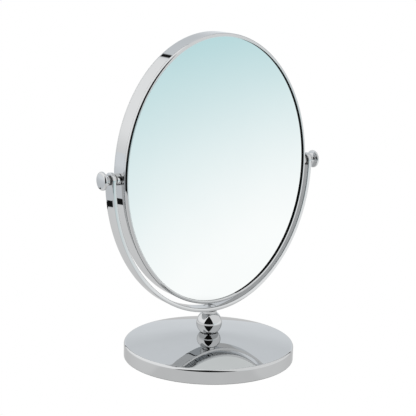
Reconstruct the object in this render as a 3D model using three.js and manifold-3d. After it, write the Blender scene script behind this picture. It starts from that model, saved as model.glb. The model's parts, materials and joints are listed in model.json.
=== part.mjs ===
// Countertop mirror: a two-sided oval mirror that tilts in a half-oval yoke, on a ball stem
// and a round weighted base.
// Millimetres, +Z up. The origin is the centre of the base's underside; the plain glass
// faces -Y, and the tilt axis runs along X through (0, 0, PIVOT_Z).

import * as THREE from "three";
import { mergeVertices } from "three/addons/utils/BufferGeometryUtils.js";
import Module from "manifold-3d";

const wasm = await Module();
wasm.setup();

// ---- Driving dimensions -------------------------------------------------------------

const GAP = 0.3; // clearance kept between neighbouring pieces
const SPARE = 1; // how far a cutting tool reaches past what it cuts

const BASE_R = 65; // outer radius of the base
const RIM_Z = 11.8; // height of the base's top edge
const SEAT_Z = 19.8; // height of the flat seat under the ball
const SEAT_R = 7.5; // radius of that seat
const SHEET = 1.2; // wall of the spun base shell
const CROWN = 0.5; // how much the base's top curves: 0 is a straight cone
const SKIRT_Z = 0.8; // the pad stands this far below the skirt
const RIM_ROUND = 2.2; // rounding between the skirt and the sloping top

const BALL_R = 9.85;
const BALL_Z = 27.2; // height of the ball's centre
const NECK_R = 5.6; // short neck between the ball and the yoke

const PIVOT_Z = 146.5; // height of the tilt axis
const HEAD_A = 81; // half width of the mirror head
const HEAD_B = 102; // half height of the mirror head
const HEAD_W = 17.6; // front to back of the mirror head
const BAND_T = 0.8; // wall of the rim band
const LIP_W = 2.6; // width of the bezel lip around the glass
const GLASS_T = 3;
const DISH = 3.2; // depth of the hollow in the magnifying glass

const YOKE_A = 89.2; // half width of the yoke, outside
const YOKE_B = 109; // tilt axis to the yoke's underside
const YOKE_T = 3; // thickness of the strip
const YOKE_W = 11.2; // width of the strip, front to back
const YOKE_EDGE = 0.4; // bevel along the strip's edges

const KNOB_X = 96.7; // middle to the crown of a knob
const KNOB_R = 6.8;
const STUD_R = 1.85; // pivot stud, M4
const BOLT_R = 2.9; // stem bolt and yoke screw, M6

const OVAL_STEPS = 60; // facets round the mirror head and twice those of the yoke
const ROUND_STEPS = 56; // facets round the base
const HIDDEN_STEPS = 36; // facets round what the base encloses
const BALL_STEPS = 28;
const SMALL_STEPS = 20; // facets round screws, bosses and knobs

// ---- Materials ------------------------------------------------------------------------

function finish(color, metalness, roughness) {
  return new THREE.MeshStandardMaterial({ color, metalness, roughness });
}

const chrome = finish(0xd9dcdf, 1, 0.06);
const zinc = finish(0xb4b7b6, 1, 0.35);
const castIron = finish(0x3d3f41, 0.7, 0.7);
const silvered = finish(0xe4f0ef, 1, 0.02);
const nylon = finish(0x8e9092, 0, 0.45);
const foam = finish(0x3a3b3d, 0, 0.95);
const hardboard = finish(0x7a5a3c, 0, 0.8);
const padRubber = finish(0x1f2022, 0, 0.9);

// ---- Building blocks --------------------------------------------------------------------

const object = new THREE.Group();

function place(group, name, geometry, material) {
  const mesh = new THREE.Mesh(geometry, material);
  mesh.name = name;
  group.add(mesh);
  return mesh;
}

// Points along a circular arc, in degrees, for a lathe profile.
function arc(cx, cy, r, from, to, steps) {
  const points = [];
  for (let i = 0; i <= steps; i += 1) {
    const a = THREE.MathUtils.degToRad(from + ((to - from) * i) / steps);
    points.push([cx + r * Math.cos(a), cy + r * Math.sin(a)]);
  }
  return points;
}

// A turned piece about Y from [radius, height] pairs that run up the outside.
// A profile that never touches the axis is closed on itself.
function turned(profile, steps) {
  const first = profile[0];
  const onAxis = first[0] === 0;
  const points = (onAxis ? profile : [...profile, first]).map(
    ([r, y]) => new THREE.Vector2(r, y),
  );
  return new THREE.LatheGeometry(points, steps);
}

// The same piece standing up, its heights along +Z.
function turnedUp(profile, steps) {
  return turned(profile, steps).rotateX(Math.PI / 2);
}

function flatDisc(radius, height) {
  const profile = [
    [0, 0],
    [radius, 0],
    [radius, height],
    [0, height],
  ];
  return turnedUp(profile, SMALL_STEPS);
}

// The same piece lying on the tilt axis, its heights outwards along side * X.
function turnedOut(profile, steps, side) {
  return turned(profile, steps).rotateZ((-side * Math.PI) / 2);
}

// An oval hoop about Y whose section keeps its thickness all the way round. Radii in the
// profile are half widths; the matching half heights are longer by HEAD_B - HEAD_A.
function ovalHoop(profile) {
  const geometry = turned(profile, OVAL_STEPS);
  const position = geometry.getAttribute("position");
  for (let i = 0; i < position.count; i += 1) {
    const x = position.getX(i);
    const z = position.getZ(i);
    const r = Math.hypot(x, z);
    position.setZ(i, (z * (r + HEAD_B - HEAD_A)) / r);
  }
  return geometry;
}

// An oval disc about Y. The rim's half height is longer than its half width by the same
// amount as in ovalHoop, and the inner rings shrink in proportion.
function ovalDisc(profile, halfWidth) {
  const stretch = (halfWidth + HEAD_B - HEAD_A) / halfWidth;
  return turned(profile, OVAL_STEPS).scale(1, 1, stretch);
}

function flatOval(halfWidth, yLow, yHigh) {
  const profile = [
    [0, yLow],
    [halfWidth, yLow],
    [halfWidth, yHigh],
    [0, yHigh],
  ];
  return ovalDisc(profile, halfWidth);
}

function solidOf(geometry) {
  const bare = geometry.index ? geometry.toNonIndexed() : geometry.clone();
  bare.deleteAttribute("normal");
  bare.deleteAttribute("uv");
  const merged = mergeVertices(bare, 1e-3);
  const mesh = new wasm.Mesh({
    numProp: 3,
    vertProperties: merged.getAttribute("position").array,
    triVerts: new Uint32Array(merged.index.array),
  });
  return new wasm.Manifold(mesh);
}

function geometryOf(solid) {
  const { numProp, vertProperties, triVerts } = solid.getMesh();
  const stored = new THREE.InterleavedBuffer(vertProperties, numProp);
  const shared = new THREE.BufferGeometry();
  shared.setAttribute("position", new THREE.InterleavedBufferAttribute(stored, 3, 0));
  shared.setIndex(new THREE.BufferAttribute(triVerts, 1));
  const geometry = shared.toNonIndexed();
  geometry.computeVertexNormals();
  return geometry;
}

function cut(geometry, ...tools) {
  const whole = solidOf(geometry);
  return geometryOf(tools.reduce((rest, tool) => rest.subtract(solidOf(tool)), whole));
}

function join(first, second) {
  return geometryOf(solidOf(first).add(solidOf(second)));
}

// A round bar on the tilt axis, for drilling holes.
function pivotDrill(radius) {
  const length = 2 * (KNOB_X + KNOB_R);
  return new THREE.CylinderGeometry(radius, radius, length, SMALL_STEPS).rotateZ(Math.PI / 2);
}

// A hexagonal prism standing on z = 0.
function hexagon(acrossFlats, height) {
  const radius = acrossFlats / Math.sqrt(3);
  const prism = new THREE.CylinderGeometry(radius, radius, height, 6);
  return prism.rotateX(Math.PI / 2).translate(0, 0, height / 2);
}

// ---- Base -------------------------------------------------------------------------------

const base = new THREE.Group();
object.add(base);

const PLATE_Z = 2.3; // underside of the closing plate
const PLATE_T = 1.2;
const WEIGHT_Z = PLATE_Z + PLATE_T + GAP;
const WEIGHT_T = 6.7;
const WEIGHT_R = 58;
const WEIGHT_CHAMFER = 1.5;
const WEIGHT_BOSS_R = 8; // boss that carries the seat
const WEIGHT_BOSS_FOOT_R = 10;
const RECESS_R = 8.5; // recess for the bolt head in the weight
const RECESS_Z = 8;
const BOLT_HOLE_R = BOLT_R + 0.4;
const BOLT_HEAD_T = 4;
const BOLT_FLATS = 10; // spanner size
const WASHER_R = 7;
const WASHER_T = 1.2;
const BOLT_TOP_Z = 27;

// Height of the base's top at a radius. It starts gently at the seat and falls faster
// towards the rim.
function crownZ(radius) {
  const way = (radius - SEAT_R) / (BASE_R - SEAT_R);
  return SEAT_Z - (SEAT_Z - RIM_Z) * way * (1 - CROWN + CROWN * way);
}

// Spun shell: skirt, rounded rim, crowned top and the flat seat, with an even wall.
function baseShell() {
  const crownSteps = 5;
  const inner = BASE_R - SHEET;
  const crownR = (outer, i) => outer + ((SEAT_R - outer) * i) / crownSteps;
  const steps = Array.from({ length: crownSteps + 1 }, (_, i) => i);
  const edge = BASE_R - RIM_ROUND;
  const edgeSlope = ((SEAT_Z - RIM_Z) * (1 + CROWN)) / (BASE_R - SEAT_R);
  const lean = THREE.MathUtils.radToDeg(Math.atan(edgeSlope));
  const roundZ = crownZ(edge) - RIM_ROUND;
  const top = steps.map((i) => [crownR(edge, i), crownZ(crownR(edge, i))]);
  const under = top.map(([r, z]) => [r, z - SHEET]).reverse();
  return turnedUp(
    [
      [BASE_R, SKIRT_Z],
      ...arc(edge, roundZ, RIM_ROUND, 0, 90 - lean, 4),
      ...top.slice(1),
      [BOLT_HOLE_R, SEAT_Z],
      [BOLT_HOLE_R, SEAT_Z - SHEET],
      ...under,
      [inner, roundZ - RIM_ROUND],
      [inner, SKIRT_Z],
    ],
    ROUND_STEPS,
  );
}

// Cast disc with a boss that carries the seat and a recess for the bolt head.
function baseWeight() {
  const top = WEIGHT_Z + WEIGHT_T;
  const bossTop = SEAT_Z - SHEET - GAP;
  const profile = [
    [RECESS_R, WEIGHT_Z],
    [WEIGHT_R, WEIGHT_Z],
    [WEIGHT_R, top - 2 * WEIGHT_CHAMFER],
    [WEIGHT_R - WEIGHT_CHAMFER, top - WEIGHT_CHAMFER],
    [WEIGHT_BOSS_FOOT_R, top],
    [WEIGHT_BOSS_R, bossTop],
    [BOLT_HOLE_R, bossTop],
    [BOLT_HOLE_R, RECESS_Z],
    [RECESS_R, RECESS_Z],
  ];
  return turnedUp(profile, HIDDEN_STEPS);
}

function flatRing(inner, outer, low, high, steps) {
  const profile = [
    [inner, low],
    [outer, low],
    [outer, high],
    [inner, high],
  ];
  return turnedUp(profile, steps);
}

function baseBolt() {
  const headZ = RECESS_Z - GAP - WASHER_T - GAP - BOLT_HEAD_T;
  const shankLength = BOLT_TOP_Z - headZ;
  const shank = new THREE.CylinderGeometry(BOLT_R, BOLT_R, shankLength, SMALL_STEPS)
    .rotateX(Math.PI / 2)
    .translate(0, 0, headZ + shankLength / 2);
  const head = hexagon(BOLT_FLATS, BOLT_HEAD_T).translate(0, 0, headZ);
  return join(head, shank);
}

const INNER_R = BASE_R - SHEET - GAP;
const PAD_INNER_R = 10.5;
const PAD_R = INNER_R - 1;
const WASHER_TOP = RECESS_Z - GAP;
place(base, "base_shell", baseShell(), chrome);
place(base, "base_weight", baseWeight(), castIron);
place(
  base,
  "base_plate",
  flatRing(RECESS_R, INNER_R, PLATE_Z, PLATE_Z + PLATE_T, HIDDEN_STEPS),
  zinc,
);
place(
  base,
  "base_pad",
  flatRing(PAD_INNER_R, PAD_R, 0, PLATE_Z - GAP, ROUND_STEPS),
  padRubber,
);
place(base, "base_bolt", baseBolt(), zinc);
place(
  base,
  "base_washer",
  flatRing(BOLT_HOLE_R, WASHER_R, WASHER_TOP - WASHER_T, WASHER_TOP, SMALL_STEPS),
  zinc,
);

// ---- Stem and yoke ------------------------------------------------------------------------

const YOKE_FOOT_Z = PIVOT_Z - YOKE_B; // underside of the yoke
const BUSH_HOLE_R = 3.4;
const SCREW_HEAD_R = 4.5;
const SCREW_HEAD_T = 1.9;
const SINK_R = SCREW_HEAD_R + 2 * GAP; // countersink for the screw head
const SCREW_RIM = 0.3; // straight rim of the screw head
const SCREW_TIP_Z = 29;

// Ball on the stem, cut flat where it sits on the base, with a short neck under the yoke.
// It is tapped right through for the base bolt and the yoke screw.
function stemBall() {
  const low = SEAT_Z + GAP - BALL_Z;
  const high = YOKE_FOOT_Z - GAP - BALL_Z;
  const from = THREE.MathUtils.radToDeg(Math.asin(low / BALL_R));
  const to = THREE.MathUtils.radToDeg(Math.acos(NECK_R / BALL_R));
  const profile = [
    [BOLT_HOLE_R, low],
    ...arc(0, 0, BALL_R, from, to, 9),
    [NECK_R, high],
    [BOLT_HOLE_R, high],
  ];
  return turnedUp(profile, BALL_STEPS).translate(0, 0, BALL_Z);
}

// Flat strip bent to a half oval, its two ends rounded about the tilt axis.
function yokeStrip() {
  const rise = YOKE_W / 2 + SPARE; // the strip's ends before they are rounded
  const outerA = YOKE_A - YOKE_EDGE;
  const outerB = YOKE_B - YOKE_EDGE;
  const innerA = YOKE_A - YOKE_T + YOKE_EDGE;
  const innerB = YOKE_B - YOKE_T + YOKE_EDGE;
  const outerEnd = Math.asin(rise / outerB);
  const innerEnd = Math.asin(rise / innerB);
  const shape = new THREE.Shape();
  shape.absellipse(0, 0, outerA, outerB, outerEnd, Math.PI - outerEnd, true);
  shape.absellipse(0, 0, innerA, innerB, Math.PI - innerEnd, innerEnd, false);
  const strip = new THREE.ExtrudeGeometry(shape, {
    depth: YOKE_W - 2 * YOKE_EDGE,
    bevelThickness: YOKE_EDGE,
    bevelSize: YOKE_EDGE,
    bevelSegments: 1,
    curveSegments: OVAL_STEPS / 2,
  })
    .translate(0, 0, YOKE_EDGE - YOKE_W / 2)
    .rotateX(Math.PI / 2);

  const side = new THREE.Shape();
  side.absarc(0, 0, YOKE_W / 2, 0, Math.PI, false);
  side.lineTo(-YOKE_W / 2 - SPARE, 0);
  side.lineTo(-YOKE_W / 2 - SPARE, -YOKE_B - SPARE);
  side.lineTo(YOKE_W / 2 + SPARE, -YOKE_B - SPARE);
  side.lineTo(YOKE_W / 2 + SPARE, 0);
  const envelope = new THREE.ExtrudeGeometry(side, {
    depth: 2 * (YOKE_A + SPARE),
    bevelEnabled: false,
    curveSegments: 12,
  })
    .translate(0, 0, -YOKE_A - SPARE)
    .rotateX(Math.PI / 2)
    .rotateZ(Math.PI / 2);
  return geometryOf(solidOf(strip).intersect(solidOf(envelope)));
}

// Countersunk screw outline, measured down from the head's flat face.
function screwOutline(headR, shankR, headT, length) {
  return [
    [0, -length],
    [shankR, -length],
    [shankR, -headT],
    [headR, -SCREW_RIM],
    [headR, 0],
    [0, 0],
  ];
}

const stand = new THREE.Group();
object.add(stand);
place(stand, "stem_ball", stemBall(), chrome);

const yokeGroup = new THREE.Group();
yokeGroup.position.z = PIVOT_Z;
object.add(yokeGroup);

const screwTop = -YOKE_B + YOKE_T - GAP; // the screw's flat face, below the strip's inside
const screwLength = PIVOT_Z + screwTop - SCREW_TIP_Z;
const sinkOutline = screwOutline(
  SINK_R,
  BOLT_R + GAP,
  SCREW_HEAD_T + GAP,
  YOKE_T + SPARE,
);
const sink = turnedUp(sinkOutline, SMALL_STEPS).translate(0, 0, screwTop + GAP);
const mouthZ = screwTop + GAP - SCREW_RIM / 2; // it overlaps the top of the sink
const sinkMouth = flatDisc(SINK_R, SPARE).translate(0, 0, mouthZ);
const yoke = cut(yokeStrip(), pivotDrill(BUSH_HOLE_R), sink, sinkMouth);
place(yokeGroup, "yoke", yoke, chrome);
const yokeScrew = turnedUp(
  screwOutline(SCREW_HEAD_R, BOLT_R, SCREW_HEAD_T, screwLength),
  SMALL_STEPS,
);
place(yokeGroup, "yoke_screw", yokeScrew, chrome).position.z = screwTop;

// ---- Mirror head --------------------------------------------------------------------------

const head = new THREE.Group();
head.position.z = PIVOT_Z;
object.add(head);

const FRONT = -HEAD_W / 2;
const LIP_T = 1.2; // bezel lip at its inner edge, front to back
const LIP_ROUND = 2.1; // outer corner of the lip
const LIP_EDGE = 0.5; // rounding of the lip's inner edge
const LIP_BACK = 2.3; // the lip meets the band this far behind its face
const SKIRT_END = 4.1; // the bezel's inner skirt ends this far behind its face
const SKIRT_T = 0.5;
const BAND_INNER = HEAD_A - BAND_T;
const SKIRT_OUTER = BAND_INNER - GAP;
const GLASS_A = SKIRT_OUTER - SKIRT_T - GAP; // half width of both glasses
const GLASS_Y = HEAD_W / 2 - LIP_T - GAP; // outer face of either glass, from the middle
const BOARD_T = 2;
const BOARD_Y = -2.3; // front face of the backing board
const PACKING_A = GLASS_A - 0.9; // half width of the board and the cushions
const CUSHION_W = 9; // width of the rear cushion's hoop
const BOSS_HOLE_R = 3.2;

function rimBand() {
  const half = HEAD_W / 2 - LIP_BACK - GAP;
  const hoop = ovalHoop([
    [BAND_INNER, -half],
    [HEAD_A, -half],
    [HEAD_A, half],
    [BAND_INNER, half],
  ]);
  return cut(hoop, pivotDrill(BOSS_HOLE_R));
}

// Front bezel: a lip with a well rounded outer corner, and a skirt nested in the band.
function bezel() {
  const lipInner = HEAD_A - LIP_W;
  const lipBack = FRONT + LIP_T;
  const bandSide = FRONT + LIP_BACK;
  return ovalHoop([
    ...arc(lipInner + LIP_EDGE, FRONT + LIP_EDGE, LIP_EDGE, 180, 270, 2),
    ...arc(HEAD_A - LIP_ROUND, FRONT + LIP_ROUND, LIP_ROUND, 270, 360, 4).slice(1),
    [HEAD_A, bandSide],
    [SKIRT_OUTER, bandSide],
    [SKIRT_OUTER, FRONT + SKIRT_END],
    [SKIRT_OUTER - SKIRT_T, FRONT + SKIRT_END],
    [SKIRT_OUTER - SKIRT_T, lipBack],
    [lipInner, lipBack],
  ]);
}

function dishDepth(radius) {
  return DISH * (1 - (radius / GLASS_A) ** 2);
}

// Hollow glass of even thickness, deepest in the middle; the hollow faces +Y.
function dishedGlass() {
  const ringCount = 4;
  const radii = Array.from({ length: ringCount + 1 }, (_, i) => (GLASS_A * i) / ringCount);
  const back = radii.map((r) => [r, GLASS_Y - GLASS_T - dishDepth(r)]);
  const face = radii.map((r) => [r, GLASS_Y - dishDepth(r)]).reverse();
  return ovalDisc([...back, ...face], GLASS_A);
}

// Foam hoop between the board and the edge of the hollow glass.
function rearCushion() {
  const inner = PACKING_A - CUSHION_W;
  const low = BOARD_Y + BOARD_T + GAP;
  const high = GLASS_Y - GLASS_T - 2 * GAP;
  return ovalHoop([
    [inner, low],
    [PACKING_A, low],
    [PACKING_A, high],
    [inner, high - dishDepth(inner)],
  ]);
}

place(head, "rim_band", rimBand(), chrome);
place(head, "front_bezel", bezel(), chrome);
place(head, "rear_bezel", bezel().rotateZ(Math.PI), chrome);
place(head, "front_glass", flatOval(GLASS_A, -GLASS_Y, -GLASS_Y + GLASS_T), silvered);
place(head, "rear_glass", dishedGlass(), silvered);
const cushionY = -GLASS_Y + GLASS_T + GAP;
place(head, "front_cushion", flatOval(PACKING_A, cushionY, BOARD_Y - GAP), foam);
place(head, "rear_cushion", rearCushion(), foam);
place(head, "backing_board", flatOval(PACKING_A, BOARD_Y, BOARD_Y + BOARD_T), hardboard);

// ---- Pivots -------------------------------------------------------------------------------

const BOSS_R = 4.35;
const BOSS_EDGE = 0.3; // bevel on the boss
const THREAD_R = STUD_R + GAP;
const BOSS_OUT = 3.3; // length of the boss outside the band
const NUT_T = 1.3;
const NUT_R = 4;
const SPRING_T = 0.6;
const SPRING_R = 4;
const BUSH_FLANGE_T = 0.6;
const FOOT_R = 3.6; // foot of the knob and flange of the bush
const WAIST_R = 2.9;
const YOKE_INSIDE = YOKE_A - YOKE_T;
const BAND_OUT = HEAD_A + GAP;
const NUT_X = BAND_INNER - GAP - NUT_T; // inner face of the lock nut
const SPRING_X = BAND_OUT + BOSS_OUT + GAP;
const STUD_X = GLASS_A + GAP;
const KNOB_FOOT_X = YOKE_A + GAP + BUSH_FLANGE_T + GAP;
const KNOB_BORE_X = KNOB_X - 1.6; // end of the bore for the stud
const KNOB_FOOT_T = 0.6;
const KNOB_FLARE = 0.7; // length of the slope between the knob's foot and its waist
const KNOB_COVE = 2; // hollow rounding between the waist and the disc
const KNOB_DISC_T = 2.9;
const KNOB_EDGE = 1.5; // rounding of the disc's face
const KNOB_BACK_EDGE = 0.6; // bevel on the disc's back
const KNOB_DOME = 0.5; // rise of the disc's face

// Threaded boss through the band: the spacer between the mirror and the yoke.
function pivotBoss(side) {
  const shank = BOSS_HOLE_R - GAP;
  const top = BAND_OUT + BOSS_OUT;
  return turnedOut(
    [
      [THREAD_R, NUT_X],
      [shank, NUT_X],
      [shank, BAND_OUT],
      [BOSS_R - BOSS_EDGE, BAND_OUT],
      [BOSS_R, BAND_OUT + BOSS_EDGE],
      [BOSS_R, top - BOSS_EDGE],
      [BOSS_R - BOSS_EDGE, top],
      [THREAD_R, top],
    ],
    SMALL_STEPS,
    side,
  );
}

function pivotWasher(side, inner, outer, from, thickness) {
  return turnedOut(
    [
      [inner, from],
      [outer, from],
      [outer, from + thickness],
      [inner, from + thickness],
    ],
    SMALL_STEPS,
    side,
  );
}

// Nylon bush in the yoke's hole, its flange under the knob.
function yokeBush(side) {
  const shoulder = YOKE_A + GAP;
  return turnedOut(
    [
      [THREAD_R, YOKE_INSIDE],
      [BUSH_HOLE_R - GAP, YOKE_INSIDE],
      [BUSH_HOLE_R - GAP, shoulder],
      [FOOT_R, shoulder],
      [FOOT_R, shoulder + BUSH_FLANGE_T],
      [THREAD_R, shoulder + BUSH_FLANGE_T],
    ],
    SMALL_STEPS,
    side,
  );
}

// Turned knob: foot flange, waist and a domed disc, bored from the inside for its stud.
function knob(side) {
  const footTop = KNOB_FOOT_X + KNOB_FOOT_T;
  const discX = KNOB_X - KNOB_DISC_T;
  const crownX = KNOB_X - KNOB_DOME - KNOB_EDGE;
  return turnedOut(
    [
      [THREAD_R, KNOB_FOOT_X],
      [FOOT_R, KNOB_FOOT_X],
      [FOOT_R, footTop],
      [WAIST_R, footTop + KNOB_FLARE],
      ...arc(WAIST_R + KNOB_COVE, discX - KNOB_COVE, KNOB_COVE, 180, 90, 3),
      [KNOB_R - KNOB_BACK_EDGE, discX],
      ...arc(KNOB_R - KNOB_EDGE, crownX, KNOB_EDGE, 0, 75, 3),
      [KNOB_R / 2, KNOB_X - KNOB_DOME / 4],
      [0, KNOB_X],
      [0, KNOB_BORE_X],
      [THREAD_R, KNOB_BORE_X],
    ],
    SMALL_STEPS,
    side,
  );
}

function knobStud(side) {
  const tip = KNOB_BORE_X - GAP;
  return turnedOut(
    [
      [0, STUD_X],
      [STUD_R, STUD_X],
      [STUD_R, tip],
      [0, tip],
    ],
    SMALL_STEPS,
    side,
  );
}

for (const [word, side] of [["left", -1], ["right", 1]]) {
  const nut = pivotWasher(side, BOSS_HOLE_R, NUT_R, NUT_X, NUT_T);
  const spring = pivotWasher(side, THREAD_R + GAP, SPRING_R, SPRING_X, SPRING_T);
  place(head, `pivot_boss_${word}`, pivotBoss(side), chrome);
  place(head, `boss_nut_${word}`, nut, zinc);
  place(head, `spring_washer_${word}`, spring, zinc);
  place(yokeGroup, `yoke_bush_${word}`, yokeBush(side), nylon);
  place(head, `knob_${word}`, knob(side), chrome);
  place(head, `knob_stud_${word}`, knobStud(side), zinc);
}

export default object;
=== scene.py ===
"""Looks of the countertop mirror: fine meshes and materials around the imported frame."""

import json
import math

import bmesh
import bpy
from mathutils import Matrix, Vector


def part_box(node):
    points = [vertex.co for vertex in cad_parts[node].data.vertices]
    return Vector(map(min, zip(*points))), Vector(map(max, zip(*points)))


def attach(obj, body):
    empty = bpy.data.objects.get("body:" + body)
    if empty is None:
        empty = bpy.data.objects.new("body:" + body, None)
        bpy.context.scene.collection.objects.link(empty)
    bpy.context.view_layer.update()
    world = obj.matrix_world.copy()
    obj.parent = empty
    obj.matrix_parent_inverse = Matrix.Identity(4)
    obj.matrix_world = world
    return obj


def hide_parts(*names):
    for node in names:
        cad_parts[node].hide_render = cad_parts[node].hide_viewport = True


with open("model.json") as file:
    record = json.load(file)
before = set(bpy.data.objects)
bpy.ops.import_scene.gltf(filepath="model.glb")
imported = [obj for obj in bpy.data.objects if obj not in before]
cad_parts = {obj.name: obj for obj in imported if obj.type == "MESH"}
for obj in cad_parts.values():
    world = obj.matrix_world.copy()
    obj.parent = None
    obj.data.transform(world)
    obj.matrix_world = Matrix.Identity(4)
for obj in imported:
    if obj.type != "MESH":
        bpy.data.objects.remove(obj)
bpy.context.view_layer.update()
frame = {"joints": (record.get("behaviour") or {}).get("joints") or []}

MM = 0.001
GAP = 0.3  # clearance between neighbouring pieces, mm

# ---- Places and sizes from the frame, in millimetres ---------------------------------


def span(node):
    """Lowest and highest corner of a CAD node, in millimetres."""
    low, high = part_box(node)
    return low / MM, high / MM


shell_low, shell_high = span("base_shell")
weight_low, weight_high = span("base_weight")
plate_low, plate_high = span("base_plate")
pad_low, pad_high = span("base_pad")
bolt_low, bolt_high = span("base_bolt")
washer_low, washer_high = span("base_washer")
ball_low, ball_high = span("stem_ball")
yoke_low, yoke_high = span("yoke")
screw_low, screw_high = span("yoke_screw")
band_low, band_high = span("rim_band")
bezel_low, bezel_high = span("front_bezel")
glass_low, glass_high = span("front_glass")
rear_low, rear_high = span("rear_glass")
packing_low, packing_high = span("front_cushion")
hoop_low, hoop_high = span("rear_cushion")
board_low, board_high = span("backing_board")

tilt_joint = next(joint for joint in frame["joints"] if joint["name"] == "head_tilt")
PIVOT_Z = tilt_joint["pos_m"][2] / MM
HEAD_A = bezel_high.x  # half width of the head
HEAD_B = bezel_high.z - PIVOT_Z  # half height of the head
FRONT_Y = bezel_low.y  # face of the front bezel
GLASS_A = glass_high.x
YOKE_A = yoke_high.x
YOKE_B = PIVOT_Z - yoke_low.z
YOKE_W = yoke_high.y - yoke_low.y
BASE_R = shell_high.x
SEAT_Z = shell_high.z
SKIRT_Z = shell_low.z

# ---- Outlines --------------------------------------------------------------------------


def arc(centre_r, centre_h, radius, start, end, steps=8):
    """Points (r, h) along a circular arc, its angles in degrees."""
    points = []
    for i in range(steps + 1):
        angle = math.radians(start + (end - start) * i / steps)
        points.append((centre_r + radius * math.cos(angle), centre_h + radius * math.sin(angle)))
    return points


def fillet(corners, closed=True, steps=6, hold=0.06):
    """A smooth outline from (r, h, radius) corners. Each rounded corner gets an arc and
    a holding point on both sides, which keeps the flats beside it flat when shaded."""
    points = []
    count = len(corners)
    for i, corner in enumerate(corners):
        here = Vector(corner[:2])
        radius = corner[2] if len(corner) > 2 else 0
        at_end = not closed and i in (0, count - 1)
        if not radius or at_end:
            points.append(here)
            continue
        to_last = (Vector(corners[i - 1][:2]) - here).normalized()
        to_next = (Vector(corners[(i + 1) % count][:2]) - here).normalized()
        turn = to_last.angle(to_next)
        reach = radius / math.tan(turn / 2)
        centre = here + (to_last + to_next).normalized() * radius / math.sin(turn / 2)
        start = here + to_last * reach - centre
        side = math.copysign(1, start.cross(here + to_next * reach - centre))
        points.append(here + to_last * (reach + hold))
        for k in range(steps + 1):
            angle = side * (math.pi - turn) * k / steps
            points.append(centre + Matrix.Rotation(angle, 2) @ start)
        points.append(here + to_next * (reach + hold))
    return [(point.x, point.y) for point in points]


def slab(inner, outer, low, high, edge):
    """Outline of a flat ring with its outer edges eased."""
    return fillet([(inner, low, edge), (outer, low, edge), (outer, high, edge), (inner, high, edge)])


def disc(radius, low, high, edge):
    """Outline of a flat disc, from the axis and back to it."""
    return fillet([(0, low), (radius, low, edge), (radius, high, edge), (0, high)], closed=False)


# ---- Mesh building -------------------------------------------------------------------


SHARP_ANGLE = 40  # edges that turn by more than this, in degrees, stay sharp


def finish_mesh(name, mesh_data):
    """An object from a bmesh in millimetres, smooth but for its sharp edges."""
    bmesh.ops.remove_doubles(mesh_data, verts=mesh_data.verts, dist=1e-4)
    bmesh.ops.recalc_face_normals(mesh_data, faces=mesh_data.faces)
    bmesh.ops.scale(mesh_data, vec=(MM, MM, MM), verts=mesh_data.verts)
    mesh = bpy.data.meshes.new(name)
    mesh_data.to_mesh(mesh)
    mesh_data.free()
    mesh.shade_smooth()
    mesh.set_sharp_from_angle(angle=math.radians(SHARP_ANGLE))
    piece = bpy.data.objects.new(name, mesh)
    bpy.context.scene.collection.objects.link(piece)
    return piece


def grid_faces(rows, mesh_data, wrap_rows, wrap_columns):
    """Quads between rows of vertices. Doubled vertices at a pole are merged later."""
    row_count = len(rows)
    column_count = len(rows[0])
    for i in range(row_count if wrap_rows else row_count - 1):
        below, above = rows[i], rows[(i + 1) % row_count]
        for j in range(column_count if wrap_columns else column_count - 1):
            k = (j + 1) % column_count
            mesh_data.faces.new((below[j], below[k], above[k], above[j]))


def revolve(name, profile, point, steps=160, closed=True):
    """Turns a profile of (r, h) pairs; point(r, angle, h) says where each lands."""
    mesh_data = bmesh.new()
    rows = []
    for i in range(steps):
        angle = math.tau * i / steps
        rows.append([mesh_data.verts.new(point(r, angle, h)) for r, h in profile])
    grid_faces(rows, mesh_data, True, closed)
    return finish_mesh(name, mesh_data)


def upright(r, angle, h):
    return (r * math.cos(angle), r * math.sin(angle), h)


def outwards(side):
    """Places a turned profile on the tilt axis, its heights away from the middle."""
    return lambda r, angle, h: (
        side * h,
        r * math.cos(angle),
        PIVOT_Z + r * math.sin(angle),
    )


def oval(r, angle, h):
    """Places a profile around the oval head: r is the half width, h the depth."""
    tall = r + HEAD_B - HEAD_A
    return (r * math.cos(angle), h, PIVOT_Z + tall * math.sin(angle))


def oval_disc(half_width):
    """As oval, for a disc: rings inside the edge shrink in proportion."""
    stretch = (half_width + HEAD_B - HEAD_A) / half_width
    return lambda r, angle, h: (
        r * math.cos(angle),
        h,
        PIVOT_Z + r * stretch * math.sin(angle),
    )


def bar(radius, centre, direction, length, steps=64):
    """A round or many-sided bar in millimetres, for use as a tool."""
    mesh_data = bmesh.new()
    size = radius * MM
    bmesh.ops.create_cone(
        mesh_data,
        cap_ends=True,
        segments=steps,
        radius1=size,
        radius2=size,
        depth=length * MM,
    )
    turn = Vector((0, 0, 1)).rotation_difference(Vector(direction)).to_matrix().to_4x4()
    place = Matrix.Translation(Vector(centre) * MM) @ turn
    bmesh.ops.transform(mesh_data, matrix=place, verts=mesh_data.verts)
    mesh = bpy.data.meshes.new("tool")
    mesh_data.to_mesh(mesh)
    mesh_data.free()
    tool = bpy.data.objects.new("tool", mesh)
    bpy.context.scene.collection.objects.link(tool)
    return tool


def carve(piece, tool, operation="DIFFERENCE"):
    """Cuts a piece with a tool, or keeps only what lies in it, and removes the tool."""
    modifier = piece.modifiers.new("cut", "BOOLEAN")
    modifier.operation = operation
    modifier.solver = "EXACT"
    modifier.object = tool
    bpy.context.view_layer.update()
    shape = piece.evaluated_get(bpy.context.evaluated_depsgraph_get())
    cut = bpy.data.meshes.new_from_object(shape)
    piece.modifiers.clear()
    old = piece.data
    piece.data = cut
    bpy.data.meshes.remove(old)
    bpy.data.meshes.remove(tool.data)
    cut.shade_smooth()
    cut.set_sharp_from_angle(angle=math.radians(SHARP_ANGLE))


# ---- Material building -------------------------------------------------------------------


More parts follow.
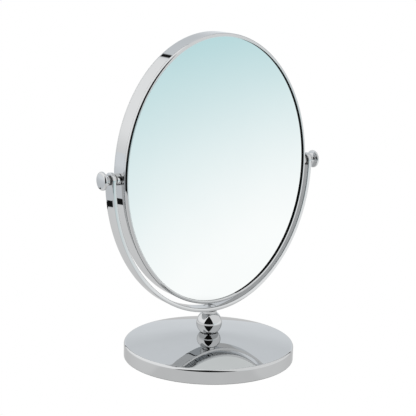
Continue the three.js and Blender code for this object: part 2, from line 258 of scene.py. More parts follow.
class Nodes:
    """A node tree with short calls for making and linking its nodes."""

    def __init__(self, tree):
        self.tree = tree

    def make(self, kind, **settings):
        node = self.tree.nodes.new(kind)
        for name, value in settings.items():
            setattr(node, name, value)
        return node

    def link(self, output, target):
        self.tree.links.new(output, target)

    def feed(self, target, value):
        if isinstance(value, bpy.types.NodeSocket):
            self.link(value, target)
        else:
            target.default_value = value

    def math(self, operation, a, b=0.0, c=0.0, clamp=False):
        node = self.make("ShaderNodeMath", operation=operation, use_clamp=clamp)
        for target, value in zip(node.inputs, (a, b, c)):
            self.feed(target, value)
        return node.outputs[0]

    def dot(self, vector, axis):
        node = self.make("ShaderNodeVectorMath", operation="DOT_PRODUCT")
        self.link(vector, node.inputs[0])
        node.inputs[1].default_value = axis
        return node.outputs["Value"]

    def mix(self, factor, a, b):
        node = self.make("ShaderNodeMix", data_type="RGBA")
        self.feed(node.inputs["Factor"], factor)
        self.feed(node.inputs[6], a)
        self.feed(node.inputs[7], b)
        return node.outputs[2]

    def tinted(self, value, tint):
        node = self.make("ShaderNodeCombineColor")
        for target, share in zip(node.inputs, tint):
            self.link(self.math("MULTIPLY", value, share), target)
        return node.outputs[0]

    def between(self, value, low, high, new_low=0.0, new_high=1.0):
        """Eases from new_low to new_high as the value goes from low to high."""
        node = self.make("ShaderNodeMapRange", interpolation_type="SMOOTHSTEP")
        for name, number in (
            ("From Min", low),
            ("From Max", high),
            ("To Min", new_low),
            ("To Max", new_high),
        ):
            node.inputs[name].default_value = number
        self.feed(node.inputs["Value"], value)
        return node.outputs["Result"]

    def window(self, value, low, high, blur):
        """1 where the value lies between low and high, easing to 0 outside."""
        rise = self.between(value, low - blur, low + blur)
        fall = self.between(value, high - blur, high + blur, 1.0, 0.0)
        return self.math("MULTIPLY", rise, fall)

    def noise(self, scale, detail=2.0, roughness=0.5, stretch=(1, 1, 1)):
        place = self.make("ShaderNodeTexCoord")
        mapping = self.make("ShaderNodeMapping")
        mapping.inputs["Scale"].default_value = stretch
        self.link(place.outputs["Object"], mapping.inputs["Vector"])
        node = self.make("ShaderNodeTexNoise")
        self.link(mapping.outputs["Vector"], node.inputs["Vector"])
        node.inputs["Scale"].default_value = scale
        node.inputs["Detail"].default_value = detail
        node.inputs["Roughness"].default_value = roughness
        return node.outputs["Fac"]

    def cells(self, scale):
        place = self.make("ShaderNodeTexCoord")
        node = self.make("ShaderNodeTexVoronoi")
        self.link(place.outputs["Object"], node.inputs["Vector"])
        node.inputs["Scale"].default_value = scale
        return node.outputs["Distance"]


def grey(value, tint=(1, 1, 1)):
    return (value * tint[0], value * tint[1], value * tint[2], 1)


def surface(
    name, colours, roughness, height=None, strength=0.0, metal=0.0, patches=40, edge_tint=1.0
):
    """A material whose colour and roughness wander between two values, with a bump made
    by height(nodes), its depth in metres given by strength. edge_tint below 1 keeps a
    metal from brightening where it is seen at a shallow angle."""
    made = bpy.data.materials.new(name)
    made.use_nodes = True
    nodes = Nodes(made.node_tree)
    shader = made.node_tree.nodes["Principled BSDF"]
    wander = nodes.between(nodes.noise(patches, 4, 0.6), 0.3, 0.7)
    nodes.link(nodes.mix(wander, *colours), shader.inputs["Base Color"])
    low, high = roughness
    nodes.link(nodes.math("MULTIPLY_ADD", wander, high - low, low), shader.inputs["Roughness"])
    shader.inputs["Metallic"].default_value = metal
    shader.inputs["Specular Tint"].default_value = grey(edge_tint)
    if height:
        bump = nodes.make("ShaderNodeBump")
        bump.inputs["Distance"].default_value = strength
        nodes.link(height(nodes), bump.inputs["Height"])
        nodes.link(bump.outputs["Normal"], shader.inputs["Normal"])
    return made


# ---- Materials ---------------------------------------------------------------------------

COOL = (0.975, 0.99, 1.0)
CHROME = surface(
    "chrome",
    (grey(0.65, COOL), grey(0.67, COOL)),
    (0.012, 0.03),
    lambda nodes: nodes.noise(900, 2, 0.6, (1, 1, 0.2)),
    1e-8,
    metal=1,
    edge_tint=0.82,
)
# Near-black painted shade: the shell's inside, and the bezels' faces in the seam and at the lip's inner
# edge.
PAINTED_SHADE_INSIDE = surface(
    "painted_shade_inside",
    (grey(0.006), grey(0.012)),
    (0.6, 0.75),
    lambda nodes: nodes.noise(2500, 2),
    2e-5,
    edge_tint=0.1,
)
MIRROR = surface(
    "mirror",
    ((0.862, 0.888, 0.884, 1), (0.876, 0.898, 0.894, 1)),
    (0, 0),
    metal=1,
    patches=14,
)
BACKING_PAINT = surface(
    "backing_paint",
    (grey(0.10), grey(0.14)),
    (0.5, 0.65),
    lambda nodes: nodes.noise(1200, 3),
    3e-5,
)
GROUND_EDGE = surface(
    "ground_edge",
    ((0.10, 0.14, 0.13, 1), (0.16, 0.21, 0.19, 1)),
    (0.5, 0.7),
    lambda nodes: nodes.noise(3000, 2),
    2e-5,
)
ZINC = surface(
    "zinc",
    (grey(0.46), grey(0.58, (1.0, 0.99, 0.96))),
    (0.22, 0.4),
    lambda nodes: nodes.noise(1800, 3),
    2e-5,
    metal=1,
    patches=260,
)
IRON = surface(
    "cast_iron",
    (grey(0.035), grey(0.075, (1.05, 1.0, 0.93))),
    (0.55, 0.85),
    lambda nodes: nodes.noise(700, 6, 0.65),
    4e-4,
    metal=0.6,
)
NYLON = surface(
    "nylon",
    (grey(0.26), grey(0.30)),
    (0.38, 0.5),
    lambda nodes: nodes.noise(1500, 2),
    2e-5,
)
FOAM = surface(
    "foam",
    (grey(0.02), grey(0.04)),
    (0.85, 0.95),
    lambda nodes: nodes.cells(1300),
    4e-4,
)
HARDBOARD = surface(
    "hardboard",
    ((0.15, 0.065, 0.026, 1), (0.24, 0.115, 0.05, 1)),
    (0.5, 0.75),
    lambda nodes: nodes.noise(420, 6, 0.7, (1, 1, 3)),
    2e-4,
    patches=190,
)
RUBBER = surface(
    "pad_rubber",
    (grey(0.012), grey(0.022)),
    (0.6, 0.8),
    lambda nodes: nodes.noise(1600, 4),
    1e-4,
)

# ---- Camera ------------------------------------------------------------------------------

VIEW_YAW = math.radians(34.34)  # from the mirror's front round towards its left side
VIEW_PITCH = math.radians(12.87)
VIEW_ROLL = math.radians(1.45)
VIEW_FROM = Vector((-543.6, -790.3, 336.0)) * MM
FOCAL_MM = 113.46


def add_camera():
    flat_right = Vector((math.cos(VIEW_YAW), -math.sin(VIEW_YAW), 0))
    flat_ahead = Vector((math.sin(VIEW_YAW), math.cos(VIEW_YAW), 0))
    ahead = flat_ahead * math.cos(VIEW_PITCH) - Vector((0, 0, math.sin(VIEW_PITCH)))
    over = flat_ahead * math.sin(VIEW_PITCH) + Vector((0, 0, math.cos(VIEW_PITCH)))
    right = flat_right * math.cos(VIEW_ROLL) + over * math.sin(VIEW_ROLL)
    up = over * math.cos(VIEW_ROLL) - flat_right * math.sin(VIEW_ROLL)
    data = bpy.data.cameras.new("camera")
    data.lens = FOCAL_MM
    data.sensor_width = 36
    data.clip_start = 0.05
    camera = bpy.data.objects.new("camera", data)
    turn = Matrix((right, up, -ahead)).transposed()
    camera.matrix_world = Matrix.Translation(VIEW_FROM) @ turn.to_4x4()
    bpy.context.scene.collection.objects.link(camera)
    bpy.context.scene.camera = camera


add_camera()

# ---- Finishing a piece -------------------------------------------------------------------


def fit_out(piece, node, body, slot, *materials):
    """Gives a piece its materials and its place in the frame."""
    for one in materials:
        piece.data.materials.append(one)
    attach(piece, body)
    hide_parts(node)


def paint(piece, index, test):
    """Gives one of a piece's materials to the faces that pass a test. The test gets a
    face's centre and its normal, the centre in millimetres."""
    for face in piece.data.polygons:
        if test(face.center / MM, face.normal):
            face.material_index = index


# ---- Base --------------------------------------------------------------------------------

SHEET = 1.2  # wall of the shell
RIM_Z = 11.8  # height of the shell's top edge, were it not rounded
RIM_ROUND = 2.2
SEAT_R = 7.5  # flat seat under the ball
CROWN = 0.5  # how much the top curves: 0 is a straight cone
BOLT_R = 2.9  # the base bolt and the yoke screw are alike
HOLE_R = BOLT_R + 0.4
WASHER_EDGE = 0.15


def crown_z(radius):
    """Height of the base's top: it starts gently at the seat and falls faster outside."""
    way = (radius - SEAT_R) / (BASE_R - SEAT_R)
    return SEAT_Z - (SEAT_Z - RIM_Z) * way * (1 - CROWN + CROWN * way)


def crown_lean(radius):
    way = (radius - SEAT_R) / (BASE_R - SEAT_R)
    return math.atan((SEAT_Z - RIM_Z) / (BASE_R - SEAT_R) * (1 - CROWN + 2 * CROWN * way))


def base_shell():
    lean = crown_lean(BASE_R - RIM_ROUND)
    edge = BASE_R - RIM_ROUND * (1 - math.sin(lean))
    round_z = crown_z(edge) - RIM_ROUND * math.cos(lean)
    rim = arc(BASE_R - RIM_ROUND, round_z, RIM_ROUND, 0, 90 - math.degrees(lean), 10)
    crown_steps = 40
    hem = 0.35  # rounding of the shell's bottom edge
    crown = []
    for i in range(1, crown_steps + 1):
        radius = edge + (SEAT_R - edge) * i / crown_steps
        crown.append((radius, crown_z(radius)))
    inner = BASE_R - SHEET
    under = [(r, z - SHEET) for r, z in reversed(crown) if r < inner - RIM_ROUND]
    profile = [
        (inner + hem, SKIRT_Z),
        *arc(BASE_R - hem, SKIRT_Z + hem, hem, 270, 360, 4),
        (BASE_R, SKIRT_Z + 2 * hem),
        (BASE_R, round_z - hem),
        *rim,
        *crown,
        (SEAT_R - hem, SEAT_Z),
        (HOLE_R, SEAT_Z),
        (HOLE_R, SEAT_Z - SHEET),
        *under,
        (inner, round_z - RIM_ROUND),
        (inner, SKIRT_Z + hem),
    ]
    piece = revolve("base_shell_plate", profile, upright, 256)
    fit_out(piece, "base_shell", "stand", "chrome_plate", CHROME, PAINTED_SHADE_INSIDE)

    # Faces that look down or inwards are painted near-black: painted shade inside the shell.
    def inside(centre, normal):
        looks_down = normal.z < -0.05
        looks_in = normal.xy.dot(centre.xy) < -0.1
        return looks_down or looks_in

    paint(piece, 1, inside)


def base_inside():
    """What the shell hides: weight, closing plate, ribbed pad and washer."""
    recess_r = 8.5  # recess for the bolt's head
    recess_z = 8  # roof of that recess
    weight_r = weight_high.x
    weight_thick = 6.7
    weight_top = weight_low.z + weight_thick
    boss_r = 8  # the boss under the seat
    boss_foot_r = boss_r + 2
    chamfer = 1.5
    edge = 0.4
    soft_edge = 0.6
    casting = fillet(
        [
            (recess_r, weight_low.z, edge),
            (weight_r, weight_low.z, edge),
            (weight_r, weight_top - 2 * chamfer, soft_edge),
            (weight_r - chamfer, weight_top - chamfer, soft_edge),
            (boss_foot_r, weight_top, soft_edge),
            (boss_r, weight_high.z, 0.5),
            (HOLE_R, weight_high.z, 0.3),
            (HOLE_R, recess_z, 0),
            (recess_r, recess_z, edge),
        ]
    )
    piece = revolve("base_weight_casting", casting, upright, 144)
    fit_out(piece, "base_weight", "stand", "iron", IRON)

    plate = slab(recess_r, plate_high.x, plate_low.z, plate_high.z, 0.2)
    piece = revolve("base_plate_disc", plate, upright, 160)
    fit_out(piece, "base_plate", "stand", "zinc_plate", ZINC)

    rib_depth = 0.6
    rib_count = 12
    rib_shape = ((0.02, rib_depth), (0.16, 0), (0.72, 0), (0.86, rib_depth))  # (share of pitch, height)
    pad_inner = recess_r + 2
    pitch = (pad_high.x - pad_inner) / rib_count
    ribs = []
    for i in range(rib_count):
        start = pad_inner + i * pitch
        ribs += [(start + share * pitch, pad_low.z + height) for share, height in rib_shape]
    ribs[-1] = (pad_high.x, ribs[-1][1])
    outline = [*ribs, (pad_high.x, pad_high.z), (pad_inner, pad_high.z)]
    piece = revolve("base_pad_ribbed", outline, upright, 160)
    fit_out(piece, "base_pad", "stand", "pad_rubber", RUBBER)

    ring = slab(HOLE_R, washer_high.x, washer_low.z, washer_high.z, WASHER_EDGE)
    piece = revolve("base_washer_ring", ring, upright, 96)
    fit_out(piece, "base_washer", "stand", "zinc_plate", ZINC)


def base_bolt():
    """Hexagon bolt: a turned, chamfered head cut to its flats, and a shank."""
    flats = bolt_high.y  # half of the spanner size
    corner = flats / math.cos(math.pi / 6)
    head_top = washer_low.z - GAP
    face_inset = 0.35  # the head's face is this much smaller than its flats
    neck = 0.2
    tip = 0.5
    profile = [
        (0, bolt_low.z),
        (flats - face_inset, bolt_low.z),
        (corner, bolt_low.z + (corner - flats + face_inset) * math.tan(math.pi / 6)),
        (corner, head_top),
        (BOLT_R + neck, head_top),
        (BOLT_R, head_top + neck),
        (BOLT_R, bolt_high.z - tip),
        (BOLT_R - tip, bolt_high.z),
        (0, bolt_high.z),
    ]
    piece = revolve("base_bolt_hex", profile, upright, 96, closed=False)
    middle = (bolt_low.z + bolt_high.z) / 2
    length = 2 * (bolt_high.z - bolt_low.z)
    carve(piece, bar(corner, (0, 0, middle), (0, 0, 1), length, 6), "INTERSECT")
    fit_out(piece, "base_bolt", "stand", "zinc_plate", ZINC)


base_shell()
base_inside()
base_bolt()

# ---- Stem and yoke -----------------------------------------------------------------------

BALL_Z = 27.2  # the ball's centre
NECK_R = 5.6
YOKE_T = 3.0
YOKE_ROUND = 0.45  # rounding of the strip's edges
BUSH_HOLE_R = 3.4
SCREW_HEAD_R = 4.5
SCREW_HEAD_T = 1.9


def stem_ball():
    """Ball cut flat where it sits on the base, with a short neck, bored right through."""
    radius = ball_high.x
    first = math.degrees(math.asin((ball_low.z - BALL_Z) / radius))
    last = math.degrees(math.acos(NECK_R / radius))
    profile = [
        (HOLE_R, ball_low.z),
        *arc(0, BALL_Z, radius, first, last, 48),
        (NECK_R, ball_high.z),
        (HOLE_R, ball_high.z),
    ]
    piece = revolve("stem_ball_plate", profile, upright, 128)
    fit_out(piece, "stem_ball", "stand", "chrome_plate", CHROME)


def yoke_place(along, across, height):
    """A point of the bent strip. along is the ellipse angle from the tilt axis, and
    height is measured outwards from the strip's middle."""
    a = YOKE_A - YOKE_T / 2 + height
    b = YOKE_B - YOKE_T / 2 + height
    return (a * math.cos(along), across, PIVOT_Z + b * math.sin(along))


def strip_section(flat_steps=6, round_steps=5):
    """Points round the strip: (share of its width, inset from its side, height)."""
    half = [(-1 + 2 * i / flat_steps, YOKE_ROUND, YOKE_T / 2) for i in range(flat_steps + 1)]
    quarter = []
    for i in range(1, round_steps + 1):
        turn = math.pi / 2 * i / round_steps
        inset = YOKE_ROUND * (1 - math.sin(turn))
        quarter.append((1, inset, YOKE_T / 2 - YOKE_ROUND * (1 - math.cos(turn))))
    half += quarter
    half += [(share, inset, -height) for share, inset, height in reversed(quarter)]
    return half + [(-share, inset, -height) for share, inset, height in half]


def yoke():
    """Flat strip bent to a half oval, with half-round ends about the tilt axis."""
    end_steps = 18
    run_steps = 220
    stations = []  # (ellipse angle of the station, angle round the strip's end)
    for i in range(end_steps, 0, -1):
        stations.append((0, math.pi / 2 * i / end_steps))
    for i in range(run_steps + 1):
        stations.append((-math.pi * i / run_steps, 0))
    for i in range(1, end_steps + 1):
        stations.append((-math.pi, math.pi / 2 * i / end_steps))
    mesh_data = bmesh.new()
    rows = []
    for along, end in stations:
        row = []
        for share, inset, height in strip_section():
            reach = YOKE_W / 2 - inset
            rise = reach * math.sin(end) / YOKE_B
            angle = along + rise if along == 0 else along - rise
            across = share * reach * math.cos(end)
            row.append(mesh_data.verts.new(yoke_place(angle, across, height)))
        rows.append(row)
    grid_faces(rows, mesh_data, False, True)
    piece = finish_mesh("yoke_strip", mesh_data)
    carve(piece, bar(BUSH_HOLE_R, (0, 0, PIVOT_Z), (1, 0, 0), 3 * YOKE_A))
    play = 0.1  # round the screw's head
    spare = 1  # the tool reaches this far past the metal
    sink_r = SCREW_HEAD_R + play
    sink = [
        (0, yoke_low.z - spare),
        (BOLT_R + GAP, yoke_low.z - spare),
        (BOLT_R + GAP, screw_high.z - SCREW_HEAD_T),
        (sink_r, screw_high.z - play),
        (sink_r, screw_high.z + spare),
        (0, screw_high.z + spare),
    ]
    carve(piece, revolve("sink", sink, upright, 64, closed=False))
    fit_out(piece, "yoke", "stand", "chrome_plate", CHROME)


def yoke_screw():
    """Countersunk screw with a hexagon socket."""
    tip = 0.4
    rim = 0.4
    socket_r = 1.5
    socket_depth = 1.2
    profile = [
        (0, screw_low.z),
        (BOLT_R - tip, screw_low.z),
        (BOLT_R, screw_low.z + tip),
        (BOLT_R, screw_high.z - SCREW_HEAD_T),
        (SCREW_HEAD_R, screw_high.z - rim),
        *arc(SCREW_HEAD_R - rim / 2, screw_high.z - rim / 2, rim / 2, 0, 90, 4),
        (0, screw_high.z),
    ]
    piece = revolve("yoke_screw_countersunk", profile, upright, 96, closed=False)
    carve(piece, bar(socket_r, (0, 0, screw_high.z), (0, 0, 1), 2 * socket_depth, 6))
    fit_out(piece, "yoke_screw", "stand", "chrome_plate", CHROME)


stem_ball()
yoke()
yoke_screw()

# ---- Mirror head -------------------------------------------------------------------------

BAND_T = 0.8
BAND_EDGE = 0.05
LIP_W = 2.6
LIP_T = 1.2  # the lip at its inner edge, front to back
LIP_ROUND = 2.1  # outer corner of the lip
LIP_EDGE = 0.5  # rounding of its inner edge
LIP_BACK = 2.3  # the lip meets the band this far behind its face
SEAM = 0.05  # what shows of the gap between the lip and the band
SKIRT_T = 0.5
BOSS_HOLE_R = 3.2
GLASS_T = glass_high.y - glass_low.y
DISH = rear_high.y - rear_low.y - GLASS_T  # depth of the hollow glass at its middle
HEAD_STEPS = 320


def rim_band():
    inner = HEAD_A - BAND_T
    hoop = slab(inner, HEAD_A, band_low.y, band_high.y, BAND_EDGE)
    piece = revolve("rim_band_plate", hoop, oval, HEAD_STEPS)
    carve(piece, bar(BOSS_HOLE_R, (0, 0, PIVOT_Z), (1, 0, 0), 3 * HEAD_A))
    fit_out(piece, "rim_band", "head", "chrome_plate", CHROME)


def oval_share(point):
    """How far out a point lies in the head's oval: 0 in the middle, 1 at the rim."""
    return math.hypot(point.x / HEAD_A, (point.z - PIVOT_Z) / HEAD_B)


def bezel(word, side):
    """A lip with a well rounded outer corner, and a skirt nested in the band. side -1 is
    the front. Its inner edge and all that the band or the glass hides are near-black:
    painted shade in the seam and at the lip's inner edge."""
    face = abs(FRONT_Y)
    depth = bezel_high.y - bezel_low.y
    skirt_outer = HEAD_A - BAND_T - GAP
    lip_inner = HEAD_A - LIP_W
    lip_back = face - LIP_BACK - GAP + SEAM
    profile = [
        (lip_inner, face - LIP_T),
        *arc(lip_inner + LIP_EDGE, face - LIP_EDGE, LIP_EDGE, 180, 90, 6),
        *arc(HEAD_A - LIP_ROUND, face - LIP_ROUND, LIP_ROUND, 90, 0, 14)[1:],
        *arc(HEAD_A - BAND_EDGE, lip_back + BAND_EDGE, BAND_EDGE, 0, -90, 3),
        (skirt_outer, lip_back),
        (skirt_outer, face - depth),
        (skirt_outer - SKIRT_T, face - depth),
        (skirt_outer - SKIRT_T, face - LIP_T),
    ]
    placed = [(r, side * h) for r, h in profile]
    piece = revolve(f"{word}_bezel_lip", placed, oval, HEAD_STEPS)
    fit_out(piece, f"{word}_bezel", "head", "chrome_plate", CHROME, PAINTED_SHADE_INSIDE)
    slack = 0.01
    outer_share = 0.995
    inner_share = (lip_inner + LIP_EDGE) / HEAD_A

    # Faces painted near-black: painted shade in the seam under the band and on the lip's inner edge.
    def dark(centre, normal):
        share = oval_share(centre)
        hidden = side * centre.y < face - LIP_T + slack and share < outer_share
        inner_edge = side * normal.y < 0.8 and share < inner_share
        return hidden or inner_edge

    paint(piece, 1, dark)


def mirror(word, body_profile, silvered):
    """A mirror plate: silvered on the faces that pass the test, ground at its edge and
    painted behind."""
    piece = revolve(f"{word}_mirror", body_profile, oval_disc(GLASS_A), HEAD_STEPS, closed=False)
    fit_out(piece, f"{word}_glass", "head", "mirror_glass", BACKING_PAINT, MIRROR, GROUND_EDGE)
    paint(piece, 1, silvered)
    paint(piece, 2, lambda centre, normal: abs(normal.y) < 0.5)


def hollow(radius):
    """How deep the magnifying glass is dished at a half width."""
    return DISH * (1 - (radius / GLASS_A) ** 2)


def mirrors():
    """Flat glass in front, and the hollow magnifying glass behind."""
    edge = 0.2
    flat = disc(GLASS_A, glass_low.y, glass_high.y, edge)
    mirror("front", flat, lambda centre, normal: normal.y < -0.5)

    rings = 28
    radii = [(GLASS_A - edge) * i / rings for i in range(rings + 1)]
    back = [(r, rear_high.y - GLASS_T - hollow(r)) for r in radii]
    face = [(r, rear_high.y - hollow(r)) for r in reversed(radii)]
    side = [(GLASS_A, rear_high.y - GLASS_T + edge), (GLASS_A, rear_high.y - edge)]
    mirror("rear", [*back, *side, *face], lambda centre, normal: normal.y > 0.5)


def packing():
    """Foam cushions and the hardboard between the two glasses."""
    half = packing_high.x
    edge = 0.3
    flat = disc(half, packing_low.y, packing_high.y, edge)
    piece = revolve("front_cushion_foam", flat, oval_disc(half), HEAD_STEPS, closed=False)
    fit_out(piece, "front_cushion", "head", "foam", FOAM)

    flat = disc(half, board_low.y, board_high.y, edge / 2)
    piece = revolve("backing_board_panel", flat, oval_disc(half), HEAD_STEPS, closed=False)
    fit_out(piece, "backing_board", "head", "hardboard", HARDBOARD)

    hoop_width = 9
    inner = half - hoop_width
    hoop = fillet(
        [
            (inner, hoop_low.y, edge),
            (half, hoop_low.y, edge),
            (half, hoop_high.y, edge),
            (inner, hoop_high.y - hollow(inner), edge),
        ]
    )
    piece = revolve("rear_cushion_foam", hoop, oval, HEAD_STEPS)
    fit_out(piece, "rear_cushion", "head", "foam", FOAM)


rim_band()
bezel("front", -1)
bezel("rear", 1)
mirrors()
packing()

# ---- Pivots ------------------------------------------------------------------------------

STUD_R = 1.85
THREAD_R = STUD_R + GAP
FOOT_R = 3.6
WAIST_R = 2.9
KNOB_FLARE = 0.7  # the foot narrows to the waist over this length
KNOB_FOOT_T = 0.6
KNOB_DISC_T = 2.9
KNOB_EDGE = 1.5
KNOB_BACK_EDGE = 0.6
KNOB_COVE = 2.0  # hollow curve from the waist up to the disc
KNOB_DOME = 0.5
KNOB_WALL = 1.6  # metal between the crown and the end of the bore
SMALL_EDGE = 0.12


def knob(word, side):
    """Turned knob: foot flange, waist and a domed disc, bored from the inside."""
    low, high = span(f"knob_{word}")
    foot = min(abs(low.x), abs(high.x))
    crown = max(abs(low.x), abs(high.x))
    radius = high.y
    disc_x = crown - KNOB_DISC_T
    flat = radius - KNOB_EDGE
    slope = math.degrees(math.atan(2 * KNOB_DOME / flat))
    dome_steps = 8
    dome = [
        (flat * i / dome_steps, crown - KNOB_DOME * (i / dome_steps) ** 2)
        for i in range(dome_steps)
    ]
    back_edge = KNOB_BACK_EDGE
    back = arc(radius - back_edge, disc_x + back_edge, back_edge, 0, -90, 6)
    cove = arc(WAIST_R + KNOB_COVE, disc_x - KNOB_COVE, KNOB_COVE, 90, 180, 14)
    foot_edge = 0.15
    waist = fillet(
        [
            cove[-1],
            (WAIST_R, foot + KNOB_FOOT_T + KNOB_FLARE, 0.1),
            (FOOT_R, foot + KNOB_FOOT_T, foot_edge),
            (FOOT_R, foot, foot_edge),
            (THREAD_R, foot),
        ],
        closed=False,
        steps=4,
        hold=0.03,
    )
    rounded = arc(flat, crown - KNOB_DOME - KNOB_EDGE, KNOB_EDGE, 90 - slope, 0, 8)
    bore = crown - KNOB_WALL
    profile = [*dome, *rounded, *back, *cove, *waist[1:], (THREAD_R, bore), (0, bore)]
    piece = revolve(f"knob_{word}_turned", profile, outwards(side), 96, closed=False)
    fit_out(piece, f"knob_{word}", f"{word}_knob", "chrome_plate", CHROME)


def pivot(word, side):
    """Everything on one side's pivot: boss, nut, spring washer, bush, stud and knob."""
    on_axis = outwards(side)

    def ends(node):
        low, high = span(node)
        return sorted((abs(low.x), abs(high.x)))

    def turned(name, node, profile, body, slot, finish, closed=True):
        piece = revolve(name, profile, on_axis, 96, closed)
        fit_out(piece, node, body, slot, finish)

    node = f"pivot_boss_{word}"
    inside, outside = ends(node)
    radius = span(node)[1].y
    shank = BOSS_HOLE_R - GAP
    shoulder = HEAD_A + GAP
    boss_edge = 0.3
    outline = fillet(
        [
            (THREAD_R, inside),
            (shank, inside, 0.2),
            (shank, shoulder),
            (radius, shoulder, boss_edge),
            (radius, outside, boss_edge),
            (THREAD_R, outside),
        ]
    )
    turned(f"pivot_boss_{word}_turned", node, outline, "head", "chrome_plate", CHROME)

    node = f"boss_nut_{word}"
    start, end = ends(node)
    outline = slab(BOSS_HOLE_R, span(node)[1].y, start, end, SMALL_EDGE)
    turned(f"{node}_ring", node, outline, "head", "zinc_plate", ZINC)

    node = f"spring_washer_{word}"
    start, end = ends(node)
    outline = slab(THREAD_R + GAP, span(node)[1].y, start, end, SMALL_EDGE)
    turned(f"{node}_ring", node, outline, "head", "zinc_plate", ZINC)

    node = f"yoke_bush_{word}"
    start, end = ends(node)
    collar = YOKE_A + GAP
    outline = fillet(
        [
            (THREAD_R, start),
            (BUSH_HOLE_R - GAP, start, SMALL_EDGE),
            (BUSH_HOLE_R - GAP, collar),
            (FOOT_R, collar, SMALL_EDGE),
            (FOOT_R, end, SMALL_EDGE),
            (THREAD_R, end),
        ]
    )
    turned(f"{node}_moulded", node, outline, "stand", "nylon", NYLON)

    node = f"knob_stud_{word}"
    start, end = ends(node)
    outline = disc(STUD_R, start, end, 0.3)
    turned(f"{node}_rod", node, outline, f"{word}_knob", "zinc_plate", ZINC, closed=False)
    knob(word, side)


pivot("left", -1)
pivot("right", 1)

# ---- Stage -------------------------------------------------------------------------------

# Bearings are in degrees round the object, as bearing() says. A pair of light levels is
# for the low or near end and the high or far end of the range that it goes with.

TOWARDS_VIEWER = Vector((-math.sin(VIEW_YAW), -math.cos(VIEW_YAW), 0))
VIEWER_RIGHT = Vector((math.cos(VIEW_YAW), -math.sin(VIEW_YAW), 0))
DARK = 0.01
PALE_BLUE = (0.965, 1.0, 1.035)
TEAL = (0.447, 0.713, 0.750, 1)

SIDE_HEIGHTS = (-2, 10)  # degrees above the horizon
LEFT_WALL = (0.958, 1.113)
RIGHT_WALL = (0.958, 0.936)
BACK_HEIGHTS = (10, 24)
BACK_WALL = (0.966, 0.845)
BACK_STARTS = (141, 149)
BACK_SEAMS = ((-146.7, 1.5), (140, 2.5))  # dark corners of the room: (bearing, half width)
SEAM_BLUR = 0.7
OPENING_MIDDLE = -3.3
OPENING_HALF = 41.5  # half width of the dark opening at the horizon
OPENING_TOP = 70
OPENING_BLUR = 0.6
HORIZON = (-2, -1)

FLOOR_RADIUS = 6.0  # metres
FLOOR_DROP = 0.05  # keeps the floor clear of the pad's ribs, mm
TURN = (40, 110)  # away from the viewer, to either side
TURN_LIGHT = (0.72, 0.785)
FLOOR_LEFT = (-143, -45)
LEFT_NEAR = (70, 140)  # mm from the middle, as are the ranges below
LEFT_NEAR_LIGHT = (0.785, 0.875)
LEFT_FAR = (500, 1600)
LEFT_FAR_LIGHT = (0.76, 0.958)
LEFT_CHANGE = (360, 400)
FLOOR_RIGHT = (40, 130)
RIGHT_NEAR = (110, 180)
RIGHT_NEAR_LIGHT = (0.785, 1.09)
TEAL_DEPTH = (5.6, 8.6)  # natural logarithm of the distance
TEAL_BEARING = 68
TEAL_SWING = 0.045  # how much that logarithm shifts for each degree from there
FLOOR_FRONT = (-45, 38)
FRONT_ENDS = (520, 560)  # the floor in front goes dark here
SHADE_STRIP_BEARING = -125  # the painted shade strip lies square to this bearing
SHADE_STRIP_REACH = (365, 420)  # its near and far side, mm
SHADE_STRIP_ENDS = (-143, -105)


def bearing(nodes, vector):
    """Angle round the object in degrees: 0 towards the viewer, 90 to the viewer's right."""
    ahead = nodes.dot(vector, TOWARDS_VIEWER)
    right = nodes.dot(vector, VIEWER_RIGHT)
    return nodes.math("MULTIPLY", nodes.math("ARCTAN2", right, ahead), 180 / math.pi)


def studio():
    """White surroundings. Reflections also see the dark opening that the viewer looks
    through: as wide as a doorway at the horizon, closing at the top like an arch."""
    world = bpy.data.worlds.new("studio")
    bpy.context.scene.world = world
    world.use_nodes = True
    world.node_tree.nodes.clear()
    nodes = Nodes(world.node_tree)
    direction = nodes.make("ShaderNodeTexCoord").outputs["Generated"]
    around = bearing(nodes, direction)
    rise = nodes.math("ARCSINE", nodes.dot(direction, (0, 0, 1)))
    height = nodes.math("MULTIPLY", rise, 180 / math.pi)

    back = nodes.between(nodes.math("ABSOLUTE", around), *BACK_STARTS)
    back_light = nodes.between(height, *BACK_HEIGHTS, *BACK_WALL)
    left_light = nodes.between(height, *SIDE_HEIGHTS, *LEFT_WALL)
    right_light = nodes.between(height, *SIDE_HEIGHTS, *RIGHT_WALL)
    side_light = nodes.mix(nodes.between(around, -10, 10), left_light, right_light)
    wall = nodes.mix(back, side_light, nodes.tinted(back_light, PALE_BLUE))
    for middle, half in BACK_SEAMS:
        seam = nodes.window(around, middle - half, middle + half, SEAM_BLUR)
        wall = nodes.mix(seam, wall, grey(DARK))

    open_share = nodes.math("SUBTRACT", 1.0, nodes.math("DIVIDE", height, OPENING_TOP), clamp=True)
    half_width = nodes.math("MULTIPLY", nodes.math("SQRT", open_share), OPENING_HALF)
    off_centre = nodes.math("ABSOLUTE", nodes.math("SUBTRACT", around, OPENING_MIDDLE))
    inwards = nodes.math("SUBTRACT", half_width, off_centre)
    opening = nodes.between(inwards, -OPENING_BLUR, OPENING_BLUR)
    above = nodes.between(height, *HORIZON)
    surroundings = nodes.mix(nodes.math("MULTIPLY", opening, above), wall, grey(DARK))

    ray = nodes.make("ShaderNodeLightPath")
    seen = nodes.mix(ray.outputs["Is Camera Ray"], surroundings, grey(1.0))
    background = nodes.make("ShaderNodeBackground")
    nodes.link(seen, background.inputs["Color"])
    output = nodes.make("ShaderNodeOutputWorld")
    nodes.link(background.outputs[0], output.inputs["Surface"])


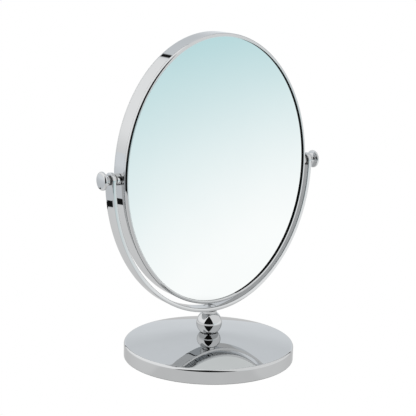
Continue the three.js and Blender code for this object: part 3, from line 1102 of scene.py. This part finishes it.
def floor():
    """Pale floor that glows with painted light; no lamp lights it. Reflections see it darken
    towards the viewer, turn a soft teal far to the right, and see a thin strip of painted
    shade on the left. It can't be seen from below, so that the object's underside can."""
    made = bpy.data.materials.new("floor")
    made.use_nodes = True
    made.node_tree.nodes.clear()
    nodes = Nodes(made.node_tree)
    place = nodes.make("ShaderNodeTexCoord").outputs["Object"]
    around = bearing(nodes, place)
    length = nodes.make("ShaderNodeVectorMath", operation="LENGTH")
    nodes.link(place, length.inputs[0])
    far = nodes.math("MULTIPLY", length.outputs["Value"], 1 / MM)

    near_light = nodes.between(nodes.math("ABSOLUTE", around), *TURN, *TURN_LIGHT)
    left_near = nodes.between(far, *LEFT_NEAR, *LEFT_NEAR_LIGHT)
    left_far = nodes.tinted(nodes.between(far, *LEFT_FAR, *LEFT_FAR_LIGHT), PALE_BLUE)
    left_light = nodes.mix(nodes.between(far, *LEFT_CHANGE), left_near, left_far)
    left = nodes.window(around, *FLOOR_LEFT, 4)
    colour = nodes.mix(left, near_light, left_light)

    right = nodes.window(around, *FLOOR_RIGHT, 4)
    swing = nodes.math("MULTIPLY", nodes.math("SUBTRACT", TEAL_BEARING, around), TEAL_SWING)
    depth = nodes.math("ADD", nodes.math("LOGARITHM", far, math.e), swing)
    white = nodes.between(far, *RIGHT_NEAR, *RIGHT_NEAR_LIGHT)
    pale = nodes.mix(nodes.between(depth, *TEAL_DEPTH), white, TEAL)
    colour = nodes.mix(right, colour, pale)

    front = nodes.window(around, *FLOOR_FRONT, 2)
    beyond = nodes.between(far, *FRONT_ENDS)
    colour = nodes.mix(nodes.math("MULTIPLY", front, beyond), colour, grey(DARK))

    # A thin dark strip of painted shade in the floor's glow on the left.
    shade_strip_bearing = math.radians(SHADE_STRIP_BEARING)
    towards = TOWARDS_VIEWER * math.cos(shade_strip_bearing) + VIEWER_RIGHT * math.sin(shade_strip_bearing)
    reach = nodes.math("MULTIPLY", nodes.dot(place, towards), 1 / MM)
    joint = nodes.window(reach, *SHADE_STRIP_REACH, 2)
    part = nodes.window(around, *SHADE_STRIP_ENDS, 1)
    colour = nodes.mix(nodes.math("MULTIPLY", joint, part), colour, grey(DARK))

    ray = nodes.make("ShaderNodeLightPath")
    seen = nodes.mix(ray.outputs["Is Camera Ray"], colour, grey(1.0))
    shine = nodes.make("ShaderNodeEmission")
    nodes.link(seen, shine.inputs["Color"])
    side = nodes.make("ShaderNodeMixShader")
    nodes.link(nodes.make("ShaderNodeNewGeometry").outputs["Backfacing"], side.inputs["Fac"])
    nodes.link(shine.outputs[0], side.inputs[1])
    nodes.link(nodes.make("ShaderNodeBsdfTransparent").outputs[0], side.inputs[2])
    output = nodes.make("ShaderNodeOutputMaterial")
    nodes.link(side.outputs[0], output.inputs["Surface"])

    mesh_data = bmesh.new()
    bmesh.ops.create_circle(mesh_data, cap_ends=True, segments=96, radius=FLOOR_RADIUS)
    for face in mesh_data.faces:
        face.normal_update()
        if face.normal.z < 0:
            face.normal_flip()
    bmesh.ops.translate(mesh_data, vec=(0, 0, -FLOOR_DROP * MM), verts=mesh_data.verts)
    mesh = bpy.data.meshes.new("floor")
    mesh_data.to_mesh(mesh)
    mesh_data.free()
    piece = bpy.data.objects.new("floor", mesh)
    piece.data.materials.append(made)
    bpy.context.scene.collection.objects.link(piece)


studio()
floor()
bpy.context.scene.view_settings.view_transform = "Standard"
bpy.context.scene.view_settings.look = "None"
